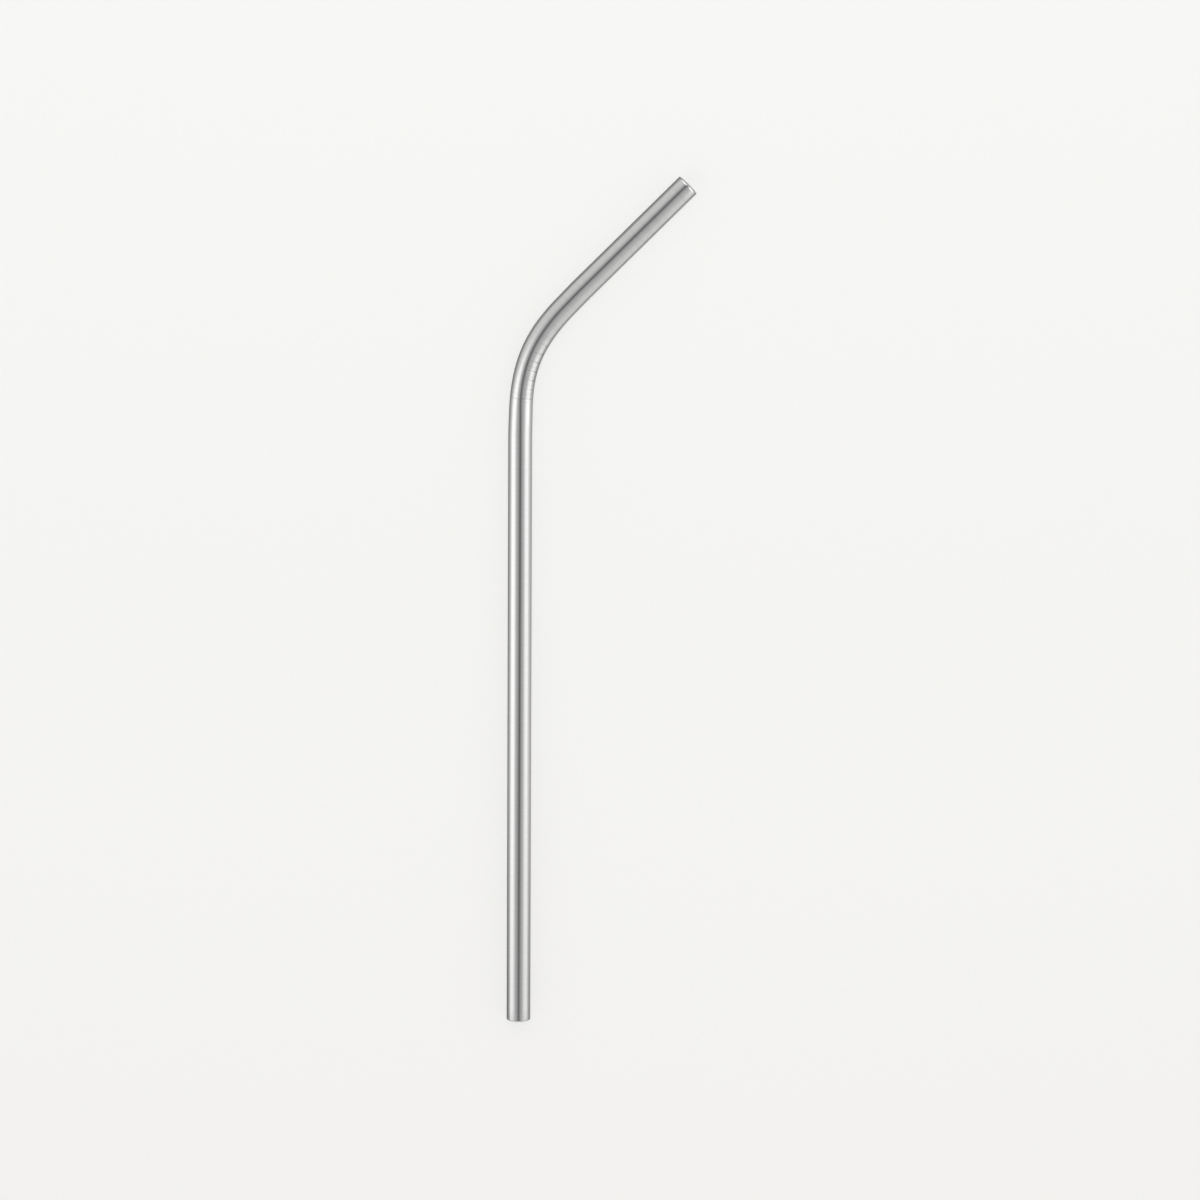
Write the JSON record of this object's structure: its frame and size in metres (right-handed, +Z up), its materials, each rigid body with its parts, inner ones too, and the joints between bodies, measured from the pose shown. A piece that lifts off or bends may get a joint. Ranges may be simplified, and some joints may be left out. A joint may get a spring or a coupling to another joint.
{
  "type": "bent stainless steel straw",
  "caption": "Thin steel tube for drinking, with one gentle bend near the top and a plain rounded mouth at each end.",
  "frame": {"origin": "middle of the straw's box on the surface that it lies on, under the tube", "axes": "the straw lies flat on its side: +Y runs along the long leg from its mouth towards the bend, +X is the side that the short leg bends to, +Z is up from the surface and across the flat plane of the bend"},
  "size_m": [0.0468, 0.2162, 0.006],
  "materials": {
    "steel": "satin polished stainless steel, neutral grey"
  },
  "bodies": {
    "root": {"straw": "steel"}
  },
  "joints": []
}
